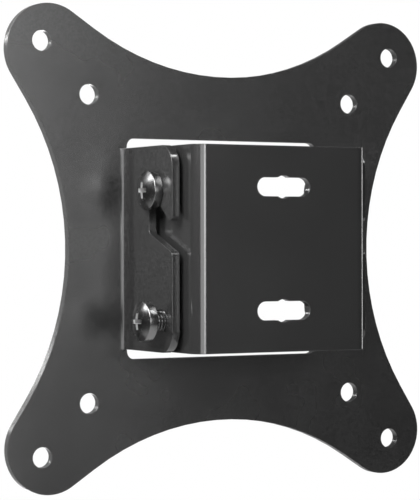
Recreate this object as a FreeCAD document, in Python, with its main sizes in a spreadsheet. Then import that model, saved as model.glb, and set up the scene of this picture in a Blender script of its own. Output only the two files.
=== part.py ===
import FreeCAD, Part
import math
import os

import Sketcher

# Tilting wall mount for a small screen: a folded steel plate that hangs on a channel bracket.
# The wall face of the bracket is Y = 0, with the origin midway between its two slots.
# +Y points from the wall to the screen, +Z up, and left is -X. Lengths are millimetres.

SIZES = {
    # Whole mount
    "wall_to_screen": 31.2,
    "sheet_thickness": 2.0,
    # Outline and holes of the screen plate
    "large_pattern": 100.0,
    "small_pattern": 75.0,
    "screen_hole_dia": 5.0,
    "lobe_spacing": 96.0,
    "lobe_radius": 11.1,
    "waist_width": 86.0,
    "waist_neck": 7.0,
    "window_height": 54.2,
    "window_corner": 2.0,
    # Flanges folded out of the window's left and right edges
    "flange_height": 49.3,
    "flange_wall_gap": 5.8,
    "flange_corner": 5.3,
    "flange_bend": 2.0,
    # Hook notch of a flange, measured down from the pivot screw
    "pivot_from_wall": 15.0,
    "pivot_above_centre": 14.0,
    "hook_tip_drop": 7.25,
    "hook_tip_width": 1.8,
    "hook_tip_radius": 1.1,
    "hook_throat_drop": 3.25,
    "hook_throat_radius": 0.6,
    "mouth_back_drop": 10.1,
    "mouth_front_drop": 14.9,
    "mouth_radius": 1.4,
    # Arc slot of the left flange, swung about the pivot screw
    "clamp_from_wall": 11.4,
    "clamp_drop": 31.1,
    "tilt_degrees": 10.0,
    # Wall bracket
    "bracket_width": 48.0,
    "bracket_height": 49.3,
    "bracket_depth": 26.4,
    "bracket_bend": 0.9,
    "bracket_top_corner": 15.0,
    "bracket_bottom_corner": 11.0,
    "wall_slot_spacing": 29.6,
    "wall_slot_length": 14.65,
    "wall_slot_width": 4.55,
    "wall_slot_eye_dia": 5.55,
    # Spacer nuts
    "nut_hex_width": 8.6,
    "nut_hex_length": 4.5,
    "nut_spigot_dia": 6.4,
    "nut_spigot_rise": 1.0,
    # Screws
    "screw_dia": 5.0,
    "screw_length": 10.0,
    "head_dia": 9.5,
    "head_rim": 1.95,
    "dome_break_dia": 6.4,
    "dome_break_height": 3.0,
    "dome_top_dia": 2.4,
    "head_height": 3.7,
    "recess_width": 1.0,
    "recess_length": 4.6,
    "recess_depth": 1.8,
    "clamp_standoff": 3.3,
    # Clearances
    "flange_clearance": 0.2,
    "pivot_clearance": 0.1,
    "slot_clearance": 0.2,
    "head_clearance": 0.1,
    "thread_clearance": 0.05,
    "nut_clearance": 0.05,
}

# Sizes worked out from the sheet
PLATE_BACK = "(sizes.wall_to_screen - sizes.sheet_thickness)"
FLANGE_INNER = "(sizes.bracket_width / 2 + sizes.nut_spigot_rise + sizes.flange_clearance)"
FLANGE_OUTER = f"({FLANGE_INNER} + sizes.sheet_thickness)"
FOLD_X = f"({FLANGE_OUTER} + sizes.flange_bend)"
FOLD_Y = f"({PLATE_BACK} - sizes.flange_bend)"
FOLD_OUTER = "(sizes.flange_bend + sizes.sheet_thickness)"
FLANGE_TOP = "sizes.flange_height / 2"
SEAT_RADIUS = "(sizes.screw_dia / 2 + sizes.pivot_clearance)"
SEAT_FRONT = f"(sizes.pivot_from_wall - {SEAT_RADIUS})"
SEAT_BACK = f"(sizes.pivot_from_wall + {SEAT_RADIUS})"
CLAMP_HEIGHT = "(sizes.pivot_above_centre - sizes.clamp_drop)"
CLAMP_LEAD = "(sizes.clamp_from_wall - sizes.pivot_from_wall)"
LOBE = "sizes.lobe_spacing / 2"
# How far the waist lies inside the lobes' centres, and the waist arc that then meets the necks
WAIST_STEP = "(sizes.waist_width / 2 - sizes.lobe_spacing / 2)"
WAIST_RADIUS = (
    f"((({LOBE})^2 + {WAIST_STEP}^2 - sizes.lobe_radius^2 - sizes.waist_neck^2)"
    f" / (2 * (sizes.lobe_radius - {WAIST_STEP})))"
)
WAIST_CENTRE = f"(sizes.waist_width / 2 + {WAIST_RADIUS})"

START = 1
END = 2
CENTRE = 3
ORIGIN = (-1, 1)
UP = FreeCAD.Vector(0, 0, 1)
BOTH_SIDES = "Symmetric"

doc = FreeCAD.newDocument("tilting_wall_mount")


def fill_sheet():
    sheet = doc.addObject("Spreadsheet::Sheet", "sizes")
    for row, (alias, number) in enumerate(SIZES.items(), start=1):
        sheet.set(f"A{row}", alias)
        sheet.set(f"B{row}", str(number))
        sheet.setAlias(f"B{row}", alias)
    doc.recompute()
    return sheet


sheet = fill_sheet()


def value(expression):
    return float(sheet.evalExpression(expression.replace("sizes.", "")))


def add_body(label):
    body = doc.addObject("PartDesign::Body", label)
    body.Label = label
    return body


def origin_feature(body, role):
    return next(feature for feature in body.Origin.OriginFeatures if feature.Role == role)


def add_sketch(body, name, plane, offset=None):
    sketch = body.newObject("Sketcher::SketchObject", name)
    sketch.AttachmentSupport = (origin_feature(body, plane), [""])
    sketch.MapMode = "FlatFace"
    if offset:
        sketch.setExpression("AttachmentOffset.Base.z", offset)
    return sketch


def bind(sketch, kind, *parts):
    """Add a dimension whose size is the expression given last."""
    expression = parts[-1]
    index = sketch.addConstraint(Sketcher.Constraint(kind, *parts[:-1], value(expression)))
    sketch.setExpression(f"Constraints[{index}]", expression)


def place(sketch, geometry, vertex, across, along):
    bind(sketch, "DistanceX", *ORIGIN, geometry, vertex, across)
    bind(sketch, "DistanceY", *ORIGIN, geometry, vertex, along)


def join(sketch, kind, first, first_vertex, second, second_vertex):
    sketch.addConstraint(Sketcher.Constraint(kind, first, first_vertex, second, second_vertex))


def arc_between(centre, start, end):
    """Arc that runs counterclockwise from start to end."""
    first = math.atan2(start.y - centre.y, start.x - centre.x)
    last = math.atan2(end.y - centre.y, end.x - centre.x)
    if last <= first:
        last += 2 * math.pi
    circle = Part.Circle(centre, UP, (start - centre).Length)
    return Part.ArcOfCircle(circle, first, last)


def add_circle(sketch, across, along, diameter):
    centre = FreeCAD.Vector(value(across), value(along), 0)
    circle = sketch.addGeometry(Part.Circle(centre, UP, value(diameter) / 2), False)
    place(sketch, circle, CENTRE, across, along)
    bind(sketch, "Diameter", circle, diameter)


def corner_tangents(before, corner, after, radius):
    """Where a rounded corner leaves its two edges, the arc's centre, and whether it turns left."""
    into = (corner - before).normalize()
    out = (after - corner).normalize()
    turn = math.atan2(into.x * out.y - into.y * out.x, into.dot(out))
    reach = radius * math.tan(abs(turn) / 2)
    start = corner - into * reach
    end = corner + out * reach
    left = turn > 0
    inward = FreeCAD.Vector(-into.y, into.x, 0) * (1 if left else -1)
    return start, end, start + inward * radius, left


def add_outline(sketch, corners):
    """Closed outline of straight edges; a corner is (across, along) or (across, along, radius)."""
    count = len(corners)
    points = [FreeCAD.Vector(value(corner[0]), value(corner[1]), 0) for corner in corners]
    starts = list(points)
    ends = list(points)
    arcs = {}
    for index, corner in enumerate(corners):
        if len(corner) == 3:
            start, end, centre, left = corner_tangents(
                points[index - 1], points[index], points[(index + 1) % count], value(corner[2])
            )
            starts[index] = start
            ends[index] = end
            curve = arc_between(centre, start, end) if left else arc_between(centre, end, start)
            arcs[index] = (sketch.addGeometry(curve, False), left)
    edges = [
        sketch.addGeometry(Part.LineSegment(ends[index], starts[(index + 1) % count]), False)
        for index in range(count)
    ]
    for index, corner in enumerate(corners):
        mark = sketch.addGeometry(Part.Point(points[index]), True)
        place(sketch, mark, START, corner[0], corner[1])
        before = edges[index - 1]
        after = edges[index]
        if index in arcs:
            arc, left = arcs[index]
            sketch.addConstraint(Sketcher.Constraint("PointOnObject", mark, START, before))
            sketch.addConstraint(Sketcher.Constraint("PointOnObject", mark, START, after))
            join(sketch, "Tangent", before, END, arc, START if left else END)
            join(sketch, "Tangent", arc, END if left else START, after, START)
            bind(sketch, "Radius", arc, corner[2])
        else:
            join(sketch, "Coincident", before, END, mark, START)
            join(sketch, "Coincident", after, START, mark, START)


def pad(body, name, sketch, length, side="One side"):
    feature = body.newObject("PartDesign::Pad", name)
    feature.Profile = sketch
    feature.SideType = side
    feature.setExpression("Length", length)
    doc.recompute()
    return feature


def pocket(body, name, sketch, length=None, side="One side"):
    feature = body.newObject("PartDesign::Pocket", name)
    feature.Profile = sketch
    feature.SideType = side
    if length:
        feature.setExpression("Length", length)
    else:
        feature.Type = "ThroughAll"
    doc.recompute()
    return feature


def revolve(body, name, sketch):
    feature = body.newObject("PartDesign::Revolution", name)
    feature.Profile = sketch
    feature.ReferenceAxis = (origin_feature(body, "X_Axis"), [""])
    feature.Angle = 360
    doc.recompute()
    return feature


def mirror(body, name, originals, plane):
    feature = body.newObject("PartDesign::Mirrored", name)
    feature.Originals = originals
    feature.MirrorPlane = (origin_feature(body, plane), [""])
    body.Tip = feature
    doc.recompute()
    return feature


def round_edges(body, name, base, edges, radius):
    feature = body.newObject("PartDesign::Fillet", name)
    feature.Base = (base, edges)
    feature.setExpression("Radius", radius)
    doc.recompute()
    return feature


def plate_outline(sketch):
    """Four round lobes joined by straight necks and hollow waists."""
    lobe_centre = FreeCAD.Vector(value(LOBE), value(LOBE), 0)
    waist_centre = FreeCAD.Vector(0, value(WAIST_CENTRE), 0)
    lobe_radius = value("sizes.lobe_radius")
    waist_radius = value(WAIST_RADIUS)
    swing = math.atan(value("sizes.waist_neck") / (lobe_radius + waist_radius))
    to_waist = (waist_centre - lobe_centre).normalize()
    # Direction from the lobe's centre to the point where its upper neck starts
    normal = FreeCAD.Rotation(UP, -math.degrees(swing)).multVec(to_waist)
    lobe_end = lobe_centre + normal * lobe_radius
    neck_end = waist_centre - normal * waist_radius
    lobe_start = FreeCAD.Vector(lobe_end.y, lobe_end.x, 0)
    neck_start = FreeCAD.Vector(-neck_end.x, neck_end.y, 0)
    next_lobe = FreeCAD.Vector(-lobe_end.x, lobe_end.y, 0)
    lobe_places = [(LOBE, LOBE), (f"-{LOBE}", LOBE), (f"-{LOBE}", f"-{LOBE}"), (LOBE, f"-{LOBE}")]
    waist_places = [
        ("0", WAIST_CENTRE),
        (f"-{WAIST_CENTRE}", "0"),
        ("0", f"-{WAIST_CENTRE}"),
        (WAIST_CENTRE, "0"),
    ]
    chain = []
    for quarter in range(4):
        turn = FreeCAD.Rotation(UP, 90 * quarter).multVec
        lobe = sketch.addGeometry(arc_between(turn(lobe_centre), turn(lobe_start), turn(lobe_end)), False)
        neck = sketch.addGeometry(Part.LineSegment(turn(lobe_end), turn(neck_end)), False)
        waist = sketch.addGeometry(arc_between(turn(waist_centre), turn(neck_start), turn(neck_end)), False)
        far_neck = sketch.addGeometry(Part.LineSegment(turn(neck_start), turn(next_lobe)), False)
        place(sketch, lobe, CENTRE, *lobe_places[quarter])
        bind(sketch, "Radius", lobe, "sizes.lobe_radius")
        place(sketch, waist, CENTRE, *waist_places[quarter])
        bind(sketch, "Radius", waist, WAIST_RADIUS)
        join(sketch, "Tangent", lobe, END, neck, START)
        join(sketch, "Tangent", neck, END, waist, END)
        join(sketch, "Tangent", waist, START, far_neck, START)
        chain.append((lobe, far_neck))
    for quarter in range(4):
        far_neck = chain[quarter][1]
        lobe = chain[(quarter + 1) % 4][0]
        join(sketch, "Tangent", far_neck, END, lobe, START)


def arc_slot(sketch):
    """Slot whose middle line swings about the pivot screw by the tilt range."""
    tilt = math.radians(value("sizes.tilt_degrees"))
    half = "(sizes.screw_dia / 2 + sizes.slot_clearance)"
    pivot = FreeCAD.Vector(value("sizes.pivot_from_wall"), value("sizes.pivot_above_centre"), 0)
    first = FreeCAD.Vector(value("sizes.clamp_from_wall"), value(CLAMP_HEIGHT), 0)
    last = pivot + FreeCAD.Rotation(UP, math.degrees(tilt)).multVec(first - pivot)
    first_out = (first - pivot).normalize() * value(half)
    last_out = (last - pivot).normalize() * value(half)
    far = sketch.addGeometry(arc_between(pivot, first + first_out, last + last_out), False)
    near = sketch.addGeometry(arc_between(pivot, first - first_out, last - last_out), False)
    wall_end = sketch.addGeometry(arc_between(first, first - first_out, first + first_out), False)
    screen_end = sketch.addGeometry(arc_between(last, last + last_out, last - last_out), False)
    last_across = (
        f"(sizes.pivot_from_wall + {CLAMP_LEAD} * cos(sizes.tilt_degrees)"
        " + sizes.clamp_drop * sin(sizes.tilt_degrees))"
    )
    for arc in (far, near):
        place(sketch, arc, CENTRE, "sizes.pivot_from_wall", "sizes.pivot_above_centre")
    place(sketch, wall_end, CENTRE, "sizes.clamp_from_wall", CLAMP_HEIGHT)
    bind(sketch, "DistanceX", *ORIGIN, screen_end, CENTRE, last_across)
    bind(sketch, "Radius", wall_end, half)
    join(sketch, "Tangent", wall_end, END, far, START)
    join(sketch, "Tangent", wall_end, START, near, START)
    join(sketch, "Tangent", far, END, screen_end, START)
    join(sketch, "Tangent", near, END, screen_end, END)


def flange_outline():
    """Outline of a flange seen from its side, wall to the left: hook above, clamp lobe below."""
    front = "sizes.flange_wall_gap"
    tip = "(sizes.pivot_above_centre - sizes.hook_tip_drop)"
    throat = "(sizes.pivot_above_centre - sizes.hook_throat_drop)"
    mouth_back = "(sizes.pivot_above_centre - sizes.mouth_back_drop)"
    mouth_front = "(sizes.pivot_above_centre - sizes.mouth_front_drop)"
    return [
        (FOLD_Y, FLANGE_TOP),
        (front, FLANGE_TOP, "sizes.flange_corner"),
        (front, tip, "sizes.hook_tip_radius"),
        (f"({front} + sizes.hook_tip_width)", tip, "sizes.hook_tip_radius"),
        (SEAT_FRONT, throat, "sizes.hook_throat_radius"),
        (SEAT_FRONT, "sizes.pivot_above_centre"),
        (SEAT_BACK, "sizes.pivot_above_centre"),
        (SEAT_BACK, mouth_back, "sizes.mouth_radius"),
        (front, mouth_front, "sizes.mouth_radius"),
        (front, f"-{FLANGE_TOP}", "sizes.flange_corner"),
        (FOLD_Y, f"-{FLANGE_TOP}"),
    ]


def fold_section(sketch):
    """Quarter ring that turns the plate into its right-hand flange."""
    centre = FreeCAD.Vector(value(FOLD_X), value(FOLD_Y), 0)
    inner = value("sizes.flange_bend")
    outer = value(FOLD_OUTER)
    to_plate = FreeCAD.Vector(0, 1, 0)
    to_flange = FreeCAD.Vector(-1, 0, 0)
    inner_arc = arc_between(centre, centre + to_plate * inner, centre + to_flange * inner)
    outer_arc = arc_between(centre, centre + to_plate * outer, centre + to_flange * outer)
    small = sketch.addGeometry(inner_arc, False)
    large = sketch.addGeometry(outer_arc, False)
    ends = []
    for direction, vertex in ((to_plate, START), (to_flange, END)):
        edge = Part.LineSegment(centre + direction * inner, centre + direction * outer)
        line = sketch.addGeometry(edge, False)
        join(sketch, "Coincident", line, START, small, vertex)
        join(sketch, "Coincident", line, END, large, vertex)
        ends.append(line)
    sketch.addConstraint(Sketcher.Constraint("Vertical", ends[0]))
    sketch.addConstraint(Sketcher.Constraint("Horizontal", ends[1]))
    place(sketch, small, CENTRE, FOLD_X, FOLD_Y)
    join(sketch, "Coincident", small, CENTRE, large, CENTRE)
    bind(sketch, "Radius", small, "sizes.flange_bend")
    bind(sketch, "Radius", large, FOLD_OUTER)


def rectangle(left, right, bottom, top, radius=None):
    corners = [(left, bottom), (right, bottom), (right, top), (left, top)]
    if radius:
        corners = [corner + (radius,) for corner in corners]
    return corners


def hexagon(width):
    """Corners of a hexagon, its width measured between opposite flats."""
    steps = [("1", "0"), ("0.5", "0.5"), ("-0.5", "0.5"), ("-1", "0"), ("-0.5", "-0.5"), ("0.5", "-0.5")]
    return [(f"({across} * {width} / sqrt(3))", f"({along} * {width})") for across, along in steps]


def screen_plate():
    """One sheet: lobed plate with a window, and a hooked flange folded from each side of it."""
    body = add_body("screen_plate")
    screen_face = "-sizes.wall_to_screen"
    sketch = add_sketch(body, "plate_outline", "XZ_Plane", screen_face)
    plate_outline(sketch)
    pad(body, "plate", sketch, "sizes.sheet_thickness")

    half_window = "sizes.window_height / 2"
    sketch = add_sketch(body, "window_outline", "XZ_Plane", screen_face)
    add_outline(sketch, rectangle(
        f"-{FLANGE_OUTER}", FLANGE_OUTER, f"-{half_window}", half_window, "sizes.window_corner"
    ))
    pocket(body, "window", sketch, side=BOTH_SIDES)

    sketch = add_sketch(body, "screen_hole_centres", "XZ_Plane", screen_face)
    for pattern in ("sizes.large_pattern / 2", "sizes.small_pattern / 2"):
        add_circle(sketch, pattern, pattern, "sizes.screen_hole_dia")
    holes = pocket(body, "corner_holes", sketch, side=BOTH_SIDES)
    pattern = body.newObject("PartDesign::PolarPattern", "screen_holes")
    pattern.Originals = [holes]
    pattern.Axis = (origin_feature(body, "Y_Axis"), [""])
    pattern.Angle = 360
    pattern.Occurrences = 4
    body.Tip = pattern
    doc.recompute()

    sketch = add_sketch(body, "fold_gap_outline", "XZ_Plane", screen_face)
    add_outline(sketch, rectangle(FLANGE_OUTER, FOLD_X, f"-{FLANGE_TOP}", FLANGE_TOP))
    gap = pocket(body, "fold_gap", sketch, side=BOTH_SIDES)

    sketch = add_sketch(body, "fold_ring", "XY_Plane")
    fold_section(sketch)
    fold = pad(body, "fold", sketch, "sizes.flange_height", BOTH_SIDES)

    sketch = add_sketch(body, "flange_side", "YZ_Plane", FLANGE_INNER)
    add_outline(sketch, flange_outline())
    flange = pad(body, "flange", sketch, "sizes.sheet_thickness")

    sketch = add_sketch(body, "hook_seat_circle", "YZ_Plane", FLANGE_OUTER)
    add_circle(sketch, "sizes.pivot_from_wall", "sizes.pivot_above_centre", f"2 * {SEAT_RADIUS}")
    seat = pocket(body, "hook_seat", sketch, "sizes.sheet_thickness")

    mirror(body, "left_flange", [gap, fold, flange, seat], "YZ_Plane")

    sketch = add_sketch(body, "tilt_slot_outline", "YZ_Plane", f"-{FLANGE_INNER}")
    arc_slot(sketch)
    pocket(body, "tilt_slot", sketch, "sizes.sheet_thickness")
    return body


def edges_at(shape, depth, height):
    """Names of the edges along X that lie at this depth and height."""
    names = []
    for number, edge in enumerate(shape.Edges, start=1):
        middle = edge.CenterOfMass
        spans_x = edge.BoundBox.YLength + edge.BoundBox.ZLength < 1e-6
        if spans_x and abs(middle.y - depth) + abs(middle.z - height) < 1e-6:
            names.append(f"Edge{number}")
    return names


def wall_bracket():
    """Channel folded from sheet, with two slots for wall screws and a nut hole at each plate screw."""
    body = add_body("wall_bracket")
    side = "sizes.bracket_width / 2"
    inside = "(sizes.bracket_width / 2 - sizes.sheet_thickness)"
    outer_bend = "(sizes.bracket_bend + sizes.sheet_thickness)"
    sketch = add_sketch(body, "channel_section", "XY_Plane")
    add_outline(sketch, [
        (f"-{side}", "sizes.bracket_depth"),
        (f"-{side}", "0", outer_bend),
        (side, "0", outer_bend),
        (side, "sizes.bracket_depth"),
        (inside, "sizes.bracket_depth"),
        (inside, "sizes.sheet_thickness", "sizes.bracket_bend"),
        (f"-{inside}", "sizes.sheet_thickness", "sizes.bracket_bend"),
        (f"-{inside}", "sizes.bracket_depth"),
    ])
    tip = pad(body, "channel", sketch, "sizes.bracket_height", BOTH_SIDES)
    top = value("sizes.bracket_height / 2")
    depth = value("sizes.bracket_depth")
    edges = edges_at(tip.Shape, depth, top)
    tip = round_edges(body, "top_corners", tip, edges, "sizes.bracket_top_corner")
    edges = edges_at(tip.Shape, depth, -top)
    round_edges(body, "bottom_corners", tip, edges, "sizes.bracket_bottom_corner")

    slot_height = "sizes.wall_slot_spacing / 2"
    half_length = "sizes.wall_slot_length / 2"
    half_width = "sizes.wall_slot_width / 2"
    sketch = add_sketch(body, "wall_slot_outline", "XZ_Plane")
    straight = f"({half_length} - {half_width})"
    ends = []
    for sign, vertex in (("", START), ("-", END)):
        centre = FreeCAD.Vector(value(f"{sign}{straight}"), value(slot_height), 0)
        down = FreeCAD.Vector(0, -value(half_width), 0)
        low, high = centre + down, centre - down
        curve = arc_between(centre, low, high) if vertex == START else arc_between(centre, high, low)
        arc = sketch.addGeometry(curve, False)
        place(sketch, arc, CENTRE, f"{sign}{straight}", slot_height)
        ends.append(arc)
    right, left = ends
    bind(sketch, "Radius", right, half_width)
    for right_vertex, left_vertex, sign in ((END, START, 1), (START, END, -1)):
        height = value(slot_height) + sign * value(half_width)
        reach = value(straight)
        edge = Part.LineSegment(FreeCAD.Vector(reach, height, 0), FreeCAD.Vector(-reach, height, 0))
        line = sketch.addGeometry(edge, False)
        join(sketch, "Tangent", right, right_vertex, line, START)
        join(sketch, "Tangent", line, END, left, left_vertex)
    slot = pocket(body, "wall_slot", sketch, "2 * sizes.sheet_thickness", BOTH_SIDES)
    sketch = add_sketch(body, "wall_slot_eye_circle", "XZ_Plane")
    add_circle(sketch, "0", slot_height, "sizes.wall_slot_eye_dia")
    eye = pocket(body, "wall_slot_eye", sketch, "2 * sizes.sheet_thickness", BOTH_SIDES)
    mirror(body, "lower_wall_slot", [slot, eye], "XY_Plane")

    hole = "(sizes.nut_spigot_dia + 2 * sizes.nut_clearance)"
    sketch = add_sketch(body, "pivot_hole_circle", "YZ_Plane")
    add_circle(sketch, "sizes.pivot_from_wall", "sizes.pivot_above_centre", hole)
    pocket(body, "pivot_holes", sketch, side=BOTH_SIDES)
    sketch = add_sketch(body, "clamp_hole_circle", "YZ_Plane")
    add_circle(sketch, "sizes.clamp_from_wall", CLAMP_HEIGHT, hole)
    pocket(body, "clamp_hole", sketch)
    return body


def set_on_axis(body, side, depth, height, out):
    """Put a turned piece on a screw axis, with its own +X pointing away from the bracket."""
    if side == "left":
        body.Placement.Rotation = FreeCAD.Rotation(UP, 180)
    body.setExpression("Placement.Base.x", out if side == "right" else f"-{out}")
    body.setExpression("Placement.Base.y", depth)
    body.setExpression("Placement.Base.z", height)


def spacer_nut(label, side, depth, height):
    """Hexagonal nut inside the bracket's side wall; its spigot goes through and spaces the plate's flange."""
    body = add_body(label)
    inside = "-sizes.sheet_thickness"
    sketch = add_sketch(body, f"{label}_hexagon", "YZ_Plane", f"({inside} - sizes.nut_hex_length)")
    add_outline(sketch, hexagon("sizes.nut_hex_width"))
    pad(body, f"{label}_head", sketch, "sizes.nut_hex_length")

    sketch = add_sketch(body, f"{label}_spigot_circle", "YZ_Plane", inside)
    add_circle(sketch, "0", "0", "sizes.nut_spigot_dia")
    pad(body, f"{label}_spigot", sketch, "(sizes.sheet_thickness + sizes.nut_spigot_rise)")

    sketch = add_sketch(body, f"{label}_bore_circle", "YZ_Plane", "sizes.nut_spigot_rise")
    add_circle(sketch, "0", "0", "(sizes.screw_dia + 2 * sizes.thread_clearance)")
    pocket(body, f"{label}_bore", sketch)
    set_on_axis(body, side, depth, height, "(sizes.bracket_width / 2)")
    return body


def screw_section():
    """Half section of a pan head screw, its axis along X and the seat of its head at zero."""
    return [
        ("sizes.head_height", "0"),
        ("-sizes.screw_length", "0"),
        ("-sizes.screw_length", "sizes.screw_dia / 2"),
        ("0", "sizes.screw_dia / 2"),
        ("0", "sizes.head_dia / 2"),
        ("sizes.head_rim", "sizes.head_dia / 2"),
        ("sizes.dome_break_height", "sizes.dome_break_dia / 2"),
        ("sizes.head_height", "sizes.dome_top_dia / 2"),
    ]


def screw(label, side, depth, height, seat):
    body = add_body(label)
    sketch = add_sketch(body, f"{label}_section", "XY_Plane")
    add_outline(sketch, screw_section())
    revolve(body, f"{label}_turned", sketch)
    arm = "sizes.recess_length / 2"
    thick = "sizes.recess_width / 2"
    # One quarter of the cross, from the end of its right arm to the end of its upper arm
    quarter = [(arm, f"-{thick}"), (arm, thick), (thick, thick)]
    upper = [(thick, arm), (f"-{thick}", arm), (f"-{thick}", thick)]
    left = [(f"-{arm}", thick), (f"-{arm}", f"-{thick}"), (f"-{thick}", f"-{thick}")]
    lower = [(f"-{thick}", f"-{arm}"), (thick, f"-{arm}"), (thick, f"-{thick}")]
    sketch = add_sketch(body, f"{label}_cross", "YZ_Plane", "sizes.head_height")
    add_outline(sketch, quarter + upper + left + lower)
    pocket(body, f"{label}_recess", sketch, "sizes.recess_depth")
    set_on_axis(body, side, depth, height, seat)
    return body


def check(bodies):
    """Stop before anything is written if a feature failed or a cut missed its solid."""
    for item in doc.Objects:
        if "Invalid" in item.State or "Error" in item.State:
            raise RuntimeError(f"{item.Name} failed: {item.State}")
        if item.TypeId == "PartDesign::Pocket" and item.Shape.Volume >= item.BaseFeature.Shape.Volume:
            raise RuntimeError(f"{item.Name} cuts nothing")
    for body in bodies:
        if body.Shape.isNull() or not body.Shape.isValid() or len(body.Shape.Solids) != 1:
            raise RuntimeError(f"{body.Label} is not one valid solid")


def build():
    pivot = ("sizes.pivot_from_wall", "sizes.pivot_above_centre")
    clamp = ("sizes.clamp_from_wall", CLAMP_HEIGHT)
    pivot_seat = f"({FLANGE_OUTER} + sizes.head_clearance)"
    clamp_seat = f"({FLANGE_OUTER} + sizes.clamp_standoff)"
    bodies = [wall_bracket(), screen_plate()]
    for side in ("left", "right"):
        bodies.append(spacer_nut(f"pivot_nut_{side}", side, *pivot))
        bodies.append(screw(f"pivot_screw_{side}", side, *pivot, pivot_seat))
    bodies.append(spacer_nut("clamp_nut", "left", *clamp))
    bodies.append(screw("clamp_screw", "left", *clamp, clamp_seat))
    doc.recompute()
    check(bodies)
    os.makedirs("parts", exist_ok=True)
    for body in bodies:
        body.Shape.exportStep(f"parts/{body.Label}.step")
        box = body.Shape.BoundBox
        print(f"{body.Label}: {body.Shape.Volume:.1f} mm3, X {box.XMin:.2f} to {box.XMax:.2f},"
              f" Y {box.YMin:.2f} to {box.YMax:.2f}, Z {box.ZMin:.2f} to {box.ZMax:.2f}")


build()
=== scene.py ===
import math

import bmesh
import bpy
import numpy as np
from mathutils import Matrix, Vector
from mathutils.geometry import delaunay_2d_cdt

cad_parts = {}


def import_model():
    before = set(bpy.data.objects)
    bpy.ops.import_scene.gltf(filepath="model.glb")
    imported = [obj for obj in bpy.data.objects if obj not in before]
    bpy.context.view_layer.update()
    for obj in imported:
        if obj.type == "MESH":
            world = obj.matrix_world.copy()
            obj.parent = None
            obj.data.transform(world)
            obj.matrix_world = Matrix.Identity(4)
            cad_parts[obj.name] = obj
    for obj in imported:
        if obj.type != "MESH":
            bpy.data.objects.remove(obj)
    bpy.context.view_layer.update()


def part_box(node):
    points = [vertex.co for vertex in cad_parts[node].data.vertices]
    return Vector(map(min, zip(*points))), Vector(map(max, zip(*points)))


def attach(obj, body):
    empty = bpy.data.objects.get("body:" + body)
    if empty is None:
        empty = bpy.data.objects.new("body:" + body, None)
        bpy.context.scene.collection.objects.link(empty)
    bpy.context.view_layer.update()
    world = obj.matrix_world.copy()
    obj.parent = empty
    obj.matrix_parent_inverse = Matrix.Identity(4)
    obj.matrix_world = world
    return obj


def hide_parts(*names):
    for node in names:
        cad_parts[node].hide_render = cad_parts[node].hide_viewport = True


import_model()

# Looks of a tilting wall mount: coated steel sheets, plated screws and spacer nuts.
# Lengths are metres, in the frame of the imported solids; MM turns millimetres into metres.

MM = 0.001
IMAGE_HEIGHT = 500
SENSOR = 36.0
CLIP_START = 0.01
CLIP_END = 20.0

# Camera fitted to the eight screen holes of the photograph
FOCAL_PIXELS = 2060.86
CAMERA_PLACE = (-256.044 * MM, -421.132 * MM, 1.466 * MM)
CAMERA_YAW = math.radians(-29.2428)
CAMERA_PITCH = math.radians(0.2015)
CAMERA_ROLL = math.radians(-0.0713)

# Both sheets, drawn flat and then folded: across and up in the flat, height through the sheet
SHEET = 2.0 * MM
EDGE_ROUND = 0.07 * MM
EDGE_STEPS = 3
ARC_STEP = math.radians(4)
BEND_STEPS = 12
SHARP_ANGLE = math.radians(35)
SHARP_TURN = math.radians(25)
CORNER_CUT = 0.35 * MM
CORNER_SHARE = 0.45
CORNER_STEPS = 4
WELD = 0.002 * MM
MERGE = WELD / 4
FILL_HULL = 0
FILL_SLACK = 1e-6
UP = Vector((0, 0, 1))

# Screen plate
LOBE_PLACE = 48.0 * MM
LOBE_RADIUS = 11.1 * MM
WAIST_PLACE = 43.0 * MM
WAIST_NECK = 7.0 * MM
HOLE_PLACES = (50.0 * MM, 37.5 * MM)
HOLE_RADIUS = 2.5 * MM
WINDOW_TOP = 27.1 * MM
WINDOW_CORNER = 2.0 * MM
WINDOW_SIDE = 27.2 * MM
FLANGE_TOP = 24.65 * MM
FLANGE_CORNER = 5.3 * MM
FLANGE_FRONT = 5.8 * MM
FOLD_ACROSS = 29.2 * MM
FOLD_DEPTH = 27.2 * MM
FOLD_MIDDLE = 3.0 * MM
FOLD_LENGTH = FOLD_MIDDLE * math.pi / 2
FOLD_END = FOLD_ACROSS - FOLD_LENGTH
RELIEF = 0.3 * MM
RELIEF_WIDTH = 0.05 * MM
RELIEF_CORNER = 0.25 * MM
PIVOT = Vector((15.0 * MM, 14.0 * MM))
CLAMP = Vector((11.4 * MM, -17.1 * MM))
TILT = math.radians(10)
TILT_SLOT = 2.7 * MM
SEAT_RADIUS = 2.6 * MM

# Notch of a flange, by height: its mouth at the free edge and at the back, its throat and the hook's tip
MOUTH_FRONT = -0.9 * MM
MOUTH_BACK = 3.9 * MM
MOUTH_CORNER = 1.4 * MM
THROAT = 10.75 * MM
THROAT_CORNER = 0.6 * MM
HOOK_TIP = 6.75 * MM
HOOK_TIP_WIDTH = 1.8 * MM
HOOK_TIP_CORNER = 1.1 * MM

# Wall bracket
BRACKET_TOP = 24.65 * MM
BRACKET_DEPTH = 26.4 * MM
BEND_ACROSS = 21.1 * MM
BEND_DEPTH = 2.9 * MM
BEND_MIDDLE = 1.9 * MM
BEND_LENGTH = BEND_MIDDLE * math.pi / 2
BEND_END = BEND_ACROSS + BEND_LENGTH
TOP_CORNER = 15.0 * MM
BOTTOM_CORNER = 11.0 * MM
SLOT_PLACE = 14.8 * MM
SLOT_REACH = 7.325 * MM
SLOT_HALF = 2.275 * MM
EYE_RADIUS = 2.775 * MM
NUT_HOLE = 3.25 * MM

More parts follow.
